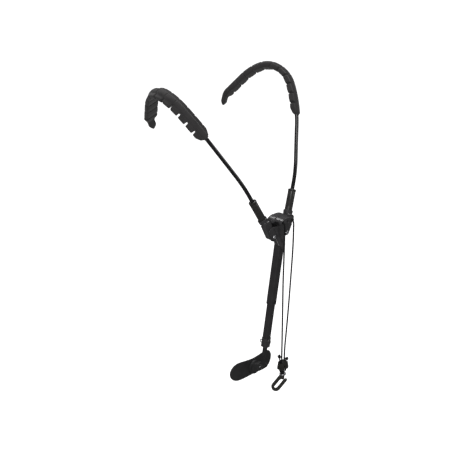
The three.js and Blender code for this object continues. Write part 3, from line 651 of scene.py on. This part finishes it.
def slider_plastic():
    """Brown-black plastic with a dull shine."""
    material = start_material("slider_plastic", (0.028, 0.026, 0.021), 0.38)
    where = place(material)
    patches = noise(material, where, 260, 4)
    grain = noise(material, where, 3600, 3)
    colour_between(material, patches, (0.02, 0.019, 0.015), (0.038, 0.036, 0.029))
    roughen(material, patches, 0.28, 0.46)
    bump(material, [(grain, 0.12, 0.00007)])
    return material


def hook_coating():
    """Dark coating over cast metal, paler and darker in random patches."""
    material = start_material(
        "hook_coating", (0.03, 0.029, 0.025), 0.34, Coat_Weight=0.3, Coat_Roughness=0.2
    )
    where = place(material)
    patches = noise(material, where, 240, 5)
    cast = noise(material, where, 1500, 3)
    colour_between(material, patches, (0.02, 0.019, 0.016), (0.05, 0.048, 0.04))
    roughen(material, patches, 0.25, 0.45)
    bump(material, [(cast, 0.14, 0.00012)])
    return material


MATERIALS = {
    "hub_plastic": hub_plastic(),
    "bar_metal": coated_tube(),
    "rod_metal": gloss_rod(),
    "sleeve_metal": coated_sleeve(),
    "pad_rubber": foam_rubber(),
    "plate_plastic": plate_plastic(),
    "bright_steel": bright_steel(),
    "cord_fibre": braided_cord(),
    "slider_plastic": slider_plastic(),
    "hook_metal": hook_coating(),
}


# ---- the camera, the floor and the lights ----------------------------------------------------
CAMERA_AT = HUB_POINT + Vector((-1247.0, -1098.9, 642.7)) * MM
CAMERA_AZIMUTH = math.radians(-45.85)
CAMERA_ELEVATION = math.radians(20.14)
CAMERA_LENS = 93.66
CAMERA_SENSOR = 36
FLOOR_DROP = 0.25
FLOOR_HALF = 14
WORLD_STRENGTH = 0.14
# Each light's place from the part's middle, its size, and its power in watts.
LIGHTS = {
    "key": ((-0.8, -0.9, 2.3), 0.9, 11),
    "front": ((-1.9, -1.3, 0.5), 1.3, 17),
    "fill": ((1.6, -1.6, 0.8), 0.7, 4),
    "top": ((0.5, 1.2, 2.2), 0.8, 20),
}


def looking(azimuth, elevation):
    """The rotation of a camera that looks level along +Y at azimuth 0."""
    return Matrix.Rotation(azimuth, 4, "Z") @ Matrix.Rotation(math.pi / 2 - elevation, 4, "X")


def make_camera():
    camera = bpy.data.objects.new("camera", bpy.data.cameras.new("camera"))
    bpy.context.collection.objects.link(camera)
    camera.data.lens = CAMERA_LENS
    camera.data.sensor_width = CAMERA_SENSOR
    camera.matrix_world = Matrix.Translation(CAMERA_AT) @ looking(CAMERA_AZIMUTH, CAMERA_ELEVATION)
    bpy.context.scene.camera = camera


def make_floor():
    low = CAD_BOX[0].z - FLOOR_DROP
    half = FLOOR_HALF
    corners = [(-half, -half, low), (half, -half, low), (half, half, low), (-half, half, low)]
    floor = add_object("floor", mesh_from("floor", corners, [(0, 1, 2, 3)]))
    material = start_material(
        "pale_floor", (0.9, 0.9, 0.9), 0.9, Emission_Color=(1, 1, 1, 1), Emission_Strength=0.95
    )
    cloud = noise(material, place(material), 2, 3)
    colour_between(material, cloud, (0.9, 0.9, 0.9), (0.92, 0.92, 0.92))
    floor.data.materials.append(material)
    floor.visible_glossy = False
    floor.visible_diffuse = False


def make_light(name, offset, size, power):
    middle = (Vector(CAD_BOX[0]) + Vector(CAD_BOX[1])) / 2
    light = bpy.data.lights.new(name, "AREA")
    light.shape = "DISK"
    light.size = size
    light.energy = power
    lamp = bpy.data.objects.new(name, light)
    bpy.context.collection.objects.link(lamp)
    lamp.location = middle + Vector(offset)
    lamp.rotation_euler = (middle - lamp.location).to_track_quat("-Z", "Y").to_euler()


def make_lights():
    for name, (offset, size, power) in LIGHTS.items():
        make_light(name, offset, size, power)
    world = bpy.data.worlds.new("studio")
    world.use_nodes = True
    background = world.node_tree.nodes["Background"]
    background.inputs["Color"].default_value = (1, 1, 1, 1)
    background.inputs["Strength"].default_value = WORLD_STRENGTH
    bpy.context.scene.world = world
    bpy.context.scene.view_settings.view_transform = "Standard"


make_camera()
make_floor()
make_lights()


# ---- the cord --------------------------------------------------------------------------------
def loop_points(y):
    """One cord loop under the slider, from its left slot round to its right one."""
    left = SLIDER_X - LOOP_HALF
    right = SLIDER_X + LOOP_HALF
    inside = SLIDER_FOOT + 6
    outside = SLIDER_FOOT - 0.3
    points = [(left, y, inside), (left, y, outside)]
    for degrees in range(180, 361, 15):
        angle = math.radians(degrees)
        across = LOOP_HALF * math.cos(angle)
        points.append((SLIDER_X + across, y, LOOP_FOOT + LOOP_BELLY * (1 + math.sin(angle))))
    points += [(right, y, outside), (right, y, inside)]
    return points


def make_strand(side, route):
    """A strand from its hole in the nose down to the slider."""
    path = smooth_path([in_hub(p) for p in route], 10)
    strand = tube_along(f"cord_strand_{side}", path, CORD_RADIUS * MM)
    dress(strand, f"cord_{side}", ride=False)
    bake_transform(strand)
    return strand, path


def make_loop(side, y):
    """A loop that the swivel hangs in."""
    path = smooth_path([in_hub(p) for p in loop_points(y)], 6)
    loop = tube_along(f"cord_bight_{side}", path, CORD_RADIUS * MM)
    dress(loop, f"cord_loop_{side}", ride=False)
    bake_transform(loop)
    return loop


# Each knot's slot is on one side of the slider, in one of its two rows. "spin" is how the knot is
# turned.
KNOTS = {
    "left": {"sign": -1, "row": SLIDER_Y + LOOP_STEP, "size": 0.72, "spin": 0.4},
    "right": {"sign": 1, "row": SLIDER_Y - LOOP_STEP, "size": 0.6, "spin": 2.3},
}


def trefoil(scale, steps=96):
    """The closed path of an overhand knot."""
    path = []
    for step in range(steps + 1):
        t = 2 * math.pi * step / steps
        flat = Vector((math.sin(t) + 2 * math.sin(2 * t), math.cos(t) - 2 * math.cos(2 * t), 0))
        path.append(flat * scale + Vector((0, 0, -1.6 * math.sin(3 * t) * scale)))
    return path


def make_knot(side):
    """The cord's end: it comes up out of its slot, and is knotted with a short tail left over."""
    node = f"cord_knot_{side}"
    knot = KNOTS[side]
    low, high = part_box(node)
    middle = Vector(((low.x + high.x) / 2, (low.y + high.y) / 2, high.z - 3.5 * MM))
    upright = Matrix.Rotation(knot["spin"], 4, "Z") @ Matrix.Rotation(1.1, 4, "X")
    place_there = Matrix.Translation(middle) @ upright
    winding = [place_there @ p for p in trefoil(knot["size"] * MM)]
    wound = tube_along(f"{side}_winding", winding, 1.15 * MM, 14)
    slot = (SLIDER_X + knot["sign"] * LOOP_HALF, knot["row"])
    end = [in_hub((*slot, SLIDER_TOP - 3)), in_hub((*slot, SLIDER_TOP + 0.6)), middle]
    end += [middle + Vector(bend) * MM for bend in ((0.3, -0.4, 1.6), (0.5, -0.6, 2.9))]
    stem = tube_along(f"{side}_stem", smooth_path(end, 6), 1.1 * MM, 14)
    return dress(joined(f"overhand_knot_{side}", [wound, stem]), node)


left_strand, left_path = make_strand("left", LEFT_STRAND)
right_strand, right_path = make_strand("right", RIGHT_STRAND)
front_loop = make_loop("front", SLIDER_Y - LOOP_STEP)
back_loop = make_loop("back", SLIDER_Y + LOOP_STEP)
left_knot = make_knot("left")
right_knot = make_knot("right")


# ---- the slider, the swivel and the hook -----------------------------------------------------
def make_swivel():
    """A wire bail over both loops, riveted into a turned barrel."""
    half = BAIL_HALF
    arch = [(-half, BARREL_TOP - 1), (-half, BAIL_TOP - 2.4), (0.9 - half, BAIL_TOP - 0.6)]
    arch.append((2.6 - half, BAIL_TOP))
    arch.extend((-y, z) for y, z in reversed(arch[:4]))
    points = [in_hub((SLIDER_X, SLIDER_Y + y, z)) for y, z in arch]
    wire = tube_along("bail", smooth_path(points, 6), BAIL_RADIUS * MM)
    foot = in_hub((SLIDER_X, SLIDER_Y, BARREL_FOOT))
    tall = BARREL_TOP - BARREL_FOOT
    profile = [(0, 0), (0, 4.6), (0.3, 5.1), (1.0, 5.2), (1.3, 4.95), (1.6, 5.2)]
    profile += [(tall - 0.5, 5.15), (tall - 0.1, 4.7), (tall, 4.3), (tall, 0)]
    barrel = turned("barrel", foot, (0, 0, 1), profile)
    return dress(joined("swivel_and_bail", [wire, barrel]), "swivel_bail")


def make_hook_stem():
    """The stem that joins the hook to the barrel, with a head inside the barrel."""
    foot = in_hub((SLIDER_X, SLIDER_Y, BARREL_FOOT - STEM_DROP))
    profile = [(0, 0), (0, 1.4), (3.4, 1.5), (5.2, 1.5), (5.5, 2.2), (6.0, 2.2), (6.2, 0)]
    return dress(turned("swivel_stem", foot, (0, 0, 1), profile, 32), "hook_stem")


slider = make_moulding("cord_slider", "slider_moulding", 0.22, 5)
swivel = make_swivel()
stem = make_hook_stem()
hook = make_moulding("hook", "open_hook", 0.24, 7)


# ---- the arms --------------------------------------------------------------------------------
def arm_place(side):
    """The frame of an arm's rod, in millimetres: X across it, Y towards the shoulder and Z up its
    sleeve."""
    hinge = Vector(JOINTS[f"{side}_rod_turn"]["pos_m"])
    along = Vector(JOINTS[f"{side}_rod_turn"]["axis"]).normalized()
    if along.z < 0:
        along = -along
    across = Vector((0, 1, 0)).cross(along).normalized()
    inward = along.cross(across)
    upright = Matrix((across, inward, along)).transposed().to_4x4()
    turned_by = math.radians(ARMS[side]["sign"] * ARMS[side]["turn"])
    spin = Matrix.Rotation(turned_by, 4, "Z")
    return Matrix.Translation(hinge) @ upright @ spin @ Matrix.Scale(MM, 4)


def rod_at(distance, side):
    """The place on the rod at a distance along it: X across, Y towards the shoulder, Z along."""
    place_there = Matrix.Translation((0, 0, ROD_ZERO))
    left = distance
    for length, turn, outward in ROD_STRETCHES:
        if outward == "sway":
            outward = ARMS[side]["sway"]
        run = min(left, length)
        bend = Vector((-turn, ARMS[side]["sign"] * outward, 0)) * math.radians(run / length)
        angle = bend.length
        chord = run if angle == 0 else 2 * run * math.sin(angle / 2) / angle
        half = Matrix.Rotation(angle / 2, 4, bend) if angle > 0 else Matrix()
        place_there = place_there @ half @ Matrix.Translation((0, 0, chord)) @ half
        left -= run
        if left <= 0:
            break
    return place_there


def ring_on_rod(distance, side, matrix, outline):
    """A ring of (across, inward) points round the rod at a distance along it."""
    there = matrix @ rod_at(distance, side)
    return [there @ Vector((across, inward, 0)) for across, inward in outline]


def make_rod(side, matrix):
    steps = 170
    sides = 28
    angles = [2 * math.pi * i / sides for i in range(sides)]
    outline = [(ROD_RADIUS * math.cos(angle), ROD_RADIUS * math.sin(angle)) for angle in angles]
    distances = [ROD_START + (ROD_END - ROD_START) * step / steps for step in range(steps + 1)]
    rod = skin(f"bent_rod_{side}", [ring_on_rod(d, side, matrix, outline) for d in distances])
    dress(rod, f"{side}_rod")


def sleeve_profile(radius, foot, top, bore):
    """A bored sleeve with rounded rims, as (distance along it, radius)."""
    return [
        (foot, 0),
        (foot, radius - 0.5),
        (foot + 0.15, radius - 0.15),
        (foot + 0.5, radius),
        (top - 0.6, radius),
        (top - 0.2, radius - 0.12),
        (top, radius - 0.5),
        (top, bore + 0.2),
        (top - 0.3, bore),
        (top - 2.5, bore),
        (top - 2.5, 0),
    ]


def make_sleeve(side, matrix):
    """The sleeve, and the clamp ring at its mouth."""
    hinge = matrix.translation
    along = (matrix.to_3x3() @ Vector((0, 0, 1))).normalized()
    for node, name, size in (
        (f"{side}_sleeve", f"sleeve_tube_{side}", SLEEVE),
        (f"{side}_sleeve_ring", f"clamp_ring_{side}", SLEEVE_RING),
    ):
        dress(turned(name, hinge, along, sleeve_profile(**size), 56), node)


def smoothstep(x, low, high):
    t = min(max((x - low) / (high - low), 0), 1)
    return t * t * (3 - 2 * t)


def slit_offset(distance):
    """How far a distance along the rod is past the middle of its nearest slit."""
    nearest = round((distance - PAD_FIRST_SLIT) / PAD_SLIT_PITCH)
    nearest = min(max(nearest, 0), PAD_SLITS - 1)
    return distance - (PAD_FIRST_SLIT + nearest * PAD_SLIT_PITCH)


def dent(away, width):
    """The depth of a soft dent, as a share, at a distance from its middle."""
    return math.exp(-((away / width) ** 2))


def pad_lead(distance):
    """A share that grows from 0 at the pad's mouth to 1 at its full width."""
    return smoothstep(distance, PAD_START, PAD_START + 12)


def pad_tail(distance):
    """A share that falls from 1 on the pad to 0 on the tongue at its end."""
    return smoothstep(PAD_END - distance, 12, 25)


def pad_lip(distance):
    """A share that rounds off the pad's mouth."""
    return math.sqrt(min(max((distance - PAD_START) / 2.2, 0.35), 1))


def pad_tip(distance):
    """A share that rounds off the tongue's tip."""
    return math.sqrt(min(max((PAD_END - distance) / 6, 0.06), 1))


def pad_or_tongue(distance, pad, tongue):
    """A measure that is the pad's own until it turns into the tongue's."""
    tail = pad_tail(distance)
    return pad * tail + tongue * (1 - tail) * pad_tip(distance)


def pad_edges(distance):
    """The pad's half width at its closed edge, and at its other edge, where its slits are open."""
    away = abs(slit_offset(distance))
    edge = PAD_SLIT_WIDTH / 2
    full = PAD_MOUTH_HALF + (PAD_HALF - PAD_MOUTH_HALF) * pad_lead(distance)
    wing = pad_or_tongue(distance, full, TONGUE_HALF)
    closed = wing - 0.7 * dent(away, 1.1) * pad_tail(distance)
    if distance > PAD_OPEN_TO:
        opened = closed
    elif away < edge:
        opened = min(wing, PAD_CORE_HALF + 0.9 * (away / edge) ** 4)
    else:
        opened = wing - 0.9 * dent(away - edge, 0.45)
    return closed * pad_lip(distance), opened * pad_lip(distance)


def pad_inner(distance):
    """The inner face's distance from the rod's middle: soft blocks with grooves between them."""
    lead = pad_lead(distance)
    tail = pad_tail(distance)
    away = abs(slit_offset(distance))
    groove = 1.5 * dent(away, 0.95)
    dip = 0.5 * (1 - min(away / (PAD_SLIT_PITCH / 2), 1) ** 2)
    inner = pad_or_tongue(distance, PAD_MOUTH_INNER + PAD_SWELL * lead, TONGUE_HALF_THICK)
    return (inner - groove * tail - dip * tail * lead) * pad_lip(distance)


def pad_outer(distance):
    """The ridge's distance from the rod's middle. It creases where the pad is bent."""
    away = abs(slit_offset(distance))
    crowned = smoothstep(distance, PAD_CROWN[0], PAD_CROWN[0] + 30)
    bent = crowned * smoothstep(PAD_CROWN[1] - distance, 0, 30)
    crease = (0.25 + 0.9 * bent) * dent(away, 0.8) * pad_tail(distance)
    outer = pad_or_tongue(distance, PAD_OUTER, TONGUE_HALF_THICK)
    return outer * pad_lip(distance) - crease


def pad_side(half, inner, outer, ridge, wing_top):
    """One half of the cross-section, from the ridge's top round to the middle of the inner face."""
    points = [
        (0, -outer),
        (ridge * 0.38, -outer + 0.12),
        (ridge * 0.7, -outer * 0.9),
        (ridge * 0.93, -outer * 0.68),
        (ridge * 1.08, wing_top * 0.6 - outer * 0.22),
        (ridge * 1.3, wing_top - 0.15),
        (half * 0.45 + ridge * 0.8, wing_top),
        (half - 1.0, wing_top + 0.1),
        (half - 0.25, wing_top + 0.55),
        (half, wing_top + 1.4),
        (half, inner * 0.45),
        (half - 0.15, inner - 1.5),
        (half - 0.7, inner - 0.55),
        (half - 1.8, inner - 0.1),
        (half * 0.55, inner),
        (half * 0.25, inner + 0.05),
    ]
    return [(min(x, half), y) for x, y in points]


def pad_outline(distance):
    """The pad's cross-section: a ridge outside over the rod, two wings and a soft inner face."""
    tail = pad_tail(distance)
    inner = pad_inner(distance)
    outer = pad_outer(distance)
    ridge = pad_or_tongue(distance, PAD_RIDGE_HALF, TONGUE_RIDGE_HALF)
    wing_top = -(PAD_WING_TOP * tail + outer * 0.72 * (1 - tail))
    closed, opened = pad_edges(distance)
    right = pad_side(closed, inner, outer, ridge, wing_top)
    left = [(-x, y) for x, y in reversed(pad_side(opened, inner, outer, ridge, wing_top)[1:])]
    return right + [(0, inner + 0.06)] + left


def pad_stations():
    """Distances along the pad: even steps, with close ones at each slit's two walls."""
    edge = PAD_SLIT_WIDTH / 2
    near = [0, 0.5, 1.0, edge - 0.02, edge, edge + 0.2, edge + 0.5, edge + 1.1]
    places = {PAD_START, PAD_START + 0.25, PAD_START + 0.8, PAD_START + 1.8, PAD_START + 3.2}
    for i in range(PAD_SLITS):
        middle = PAD_FIRST_SLIT + i * PAD_SLIT_PITCH
        places.update(middle + sign * away for away in near for sign in (-1, 1))
    step = 1.6
    count = int((PAD_END - PAD_START) / step)
    for i in range(3, count):
        distance = PAD_START + i * step
        if abs(slit_offset(distance)) > edge + 1.4:
            places.add(distance)
    places.update(PAD_END - back for back in (5, 3.6, 2.4, 1.4, 0.7, 0.25, 0))
    return sorted(places)


def make_pad(side, matrix):
    rings = [ring_on_rod(d, side, matrix, pad_outline(d)) for d in pad_stations()]
    pad = skin(f"segmented_pad_{side}", rings)
    dress(pad, f"{side}_shoulder_pad", sharp=50)


for arm_side in ARMS:
    arm_matrix = arm_place(arm_side)
    make_moulding(f"{arm_side}_arm_bracket", f"bracket_moulding_{arm_side}", 0.3, 5)
    make_sleeve(arm_side, arm_matrix)
    make_rod(arm_side, arm_matrix)
    make_pad(arm_side, arm_matrix)


# ---- the hub ---------------------------------------------------------------------------------
def make_screw(side):
    """A domed head with a round recess, on a plain shank."""
    node = f"{side}_hinge_screw"
    low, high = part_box(node)
    middle = (low + high) / 2
    origin = Vector((middle.x, low.y, middle.z))
    length = (high.y - low.y) / MM
    profile = [(0.5, 0), (0.5, 1.3), (0.05, 1.4), (0, 1.8), (0.2, 2.5), (0.6, 3.0)]
    profile += [(1.1, 3.2), (1.4, 3.1), (1.4, 2.5)]
    profile += [(length - 0.3, 2.5), (length, 2.2), (length, 0)]
    dress(turned(f"hinge_rivet_{side}", origin, (0, 1, 0), profile), node)


make_moulding("hub_body", "hub_shell", 0.4, 6, 0.35)
make_moulding("hub_front_plate", "hub_front_moulding", 0.35, 5, 0.35)
for arm_side in ARMS:
    make_screw(arm_side)
    make_bevelled(f"{arm_side}_hinge_nut", f"hex_nut_{arm_side}", 0.25)


# ---- the bar ---------------------------------------------------------------------------------
def rounded_rectangle(wide, deep, corner, segments=8):
    points = []
    for turn in range(4):
        sign_x = (1, -1, -1, 1)[turn]
        sign_y = (1, 1, -1, -1)[turn]
        centre_x = sign_x * (wide / 2 - corner)
        centre_y = sign_y * (deep / 2 - corner)
        for step in range(segments + 1):
            angle = math.pi / 2 * (turn + step / segments)
            x = centre_x + corner * math.cos(angle)
            y = centre_y + corner * math.sin(angle)
            points.append((x, y))
    return points


def square_tube(name, size):
    """A rounded square tube with softened rims, closed round its wall."""
    wall = size["wall"]
    low, high = size["foot"], size["top"]
    skins = [
        (wall, low + 0.15),
        (wall - 0.2, low),
        (0.2, low),
        (0, low + 0.25),
        (0, high - 0.25),
        (0.2, high),
        (wall - 0.2, high),
        (wall, high - 0.15),
    ]
    rings = []
    for inset, z in skins:
        outline = rounded_rectangle(
            size["wide"] - 2 * inset, size["deep"] - 2 * inset, size["corner"] - inset
        )
        rings.append([IN_BAR @ Vector((x, y, z)) for x, y in outline])
    rings.append(rings[0])
    tube = skin(name, rings, ends=False)
    shape = bmesh.new()
    shape.from_mesh(tube.data)
    bmesh.ops.remove_doubles(shape, verts=shape.verts, dist=0.001 * MM)
    bmesh.ops.recalc_face_normals(shape, faces=shape.faces)
    shape.to_mesh(tube.data)
    shape.free()
    return tube


def make_tubes():
    for node, name, size, heights in (
        ("outer_tube", "outer_square_tube", OUTER_TUBE, (BUTTON_AT, BUTTON_AT - HEIGHT_STEP)),
        ("inner_tube", "inner_square_tube", INNER_TUBE, (BUTTON_AT,)),
    ):
        tube = square_tube(name, size)
        for height in heights:
            start = IN_BAR @ Vector((0, -size["deep"], height))
            end = IN_BAR @ Vector((0, 0, height))
            drill(tube, start, end, BUTTON_RADIUS + 0.25)
        dress(tube, node, sharp=30)


def make_button():
    """The sprung button's domed head and its flange inside the tube."""
    front = -OUTER_TUBE["deep"] / 2 - BUTTON_PROUD
    start = IN_BAR @ Vector((0, front, BUTTON_AT))
    axis = IN_BAR.to_3x3() @ Vector((0, 1, 0))
    flange = -INNER_TUBE["deep"] / 2 + INNER_TUBE["wall"] + BUTTON_FLANGE_AT - front
    flange_radius = BUTTON_RADIUS + 1
    profile = [(0, 0), (0.05, 1.0), (0.25, 1.7), (0.6, 2.15), (1.1, BUTTON_RADIUS)]
    profile += [(flange, BUTTON_RADIUS), (flange, flange_radius)]
    profile += [(flange + 1, flange_radius), (flange + 1, 0)]
    dress(turned("domed_button", start, axis, profile, 40), "height_button")


def make_spring():
    """The leaf behind the button."""
    spring = make_bevelled("button_spring", "leaf_spring", 0.1)
    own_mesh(spring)


make_tubes()
make_button()
make_spring()
make_moulding("stalk", "stalk_moulding", 0.25, 4)
make_moulding("end_cap", "end_cap_moulding", 0.26, 4)
make_moulding("tie_eyelet", "tie_ring", 0.16, 3)


# ---- the belly plate -------------------------------------------------------------------------
def plate_half_height(x):
    """Half height of the two-lobed plate at a distance from its middle."""
    lobe_x = PLATE_HALF_LENGTH - PLATE_LOBE_HALF - 3
    x = abs(x)
    if x <= lobe_x:
        return PLATE_WAIST_HALF + (PLATE_LOBE_HALF - PLATE_WAIST_HALF) * smoothstep(x, 0, lobe_x)
    reach = (x - lobe_x) / (PLATE_HALF_LENGTH - lobe_x)
    return PLATE_LOBE_HALF * math.sqrt(max(1 - reach * reach, 0))


def plate_outline(steps=40):
    points = []
    for step in range(steps + 1):
        x = PLATE_HALF_LENGTH * math.cos(math.pi * step / steps)
        points.append((x, plate_half_height(x)))
    points += [(x, -z) for x, z in reversed(points[1:-1])]
    return points


def on_plate(x, depth, z):
    """A point of the plate: depth is measured from its front face towards the wearer."""
    radius = PLATE_BEND - depth
    angle = x / PLATE_BEND
    y = PLATE_FRONT_Y + PLATE_BEND - radius * math.cos(angle)
    return in_hub((radius * math.sin(angle), y, PLATE_Z + z))


def plate_layers():
    """The plate's skin, as (share of the outline, depth): over the front face, round the edge and
    over the back face."""
    middle = PLATE_THICK / 2
    layers = [(share, 0) for share in PLATE_SHARES]
    for degrees in range(-90, 91, 20):
        angle = math.radians(degrees)
        inset = middle * (1 - math.cos(angle))
        layers.append((1 - inset / PLATE_MIDDLING_HALF, middle + middle * math.sin(angle)))
    layers += [(share, PLATE_THICK) for share in reversed(PLATE_SHARES)]
    return layers


def make_plate():
    """The plate, with the stud that goes into the knuckle in front of it."""
    outline = plate_outline()
    rings = []
    for share, depth in plate_layers():
        rings.append([on_plate(x * share, depth, z * share) for x, z in outline])
    shell = skin("shell", rings)
    radius = STUD["radius"]
    length = STUD["length"]
    stud_foot = in_hub((0, PLATE_FRONT_Y - STUD["in_front"], PLATE_Z))
    profile = [(0, 0), (0, radius - 0.3), (0.3, radius), (length, radius), (length, 0)]
    stud = turned("stud", stud_foot, (0, 1, 0), profile)
    dress(joined("belly_plate_shell", [shell, stud]), "belly_plate")


def make_tilt_pin():
    """The pin through the stalk and the knuckle, with a head at one end."""
    low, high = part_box("tilt_pin")
    middle = (low + high) / 2
    length = (high.x - low.x) / MM
    profile = [(0, 0), (0, 1.2), (0.3, 1.5), (length - 1.2, 1.5), (length - 1.2, 2.5)]
    profile += [(length - 0.5, 2.6), (length - 0.1, 2.0), (length, 0)]
    pin = turned("tilt_rivet", (low.x, middle.y, middle.z), (1, 0, 0), profile, 32)
    dress(pin, "tilt_pin")


make_moulding("plate_knuckle", "knuckle_moulding", 0.3, 5)
make_plate()
make_bevelled("plate_washer", "plate_washer_turned", 0.15)
make_bevelled("plate_screw", "plate_screw_turned", 0.15)
make_tilt_pin()
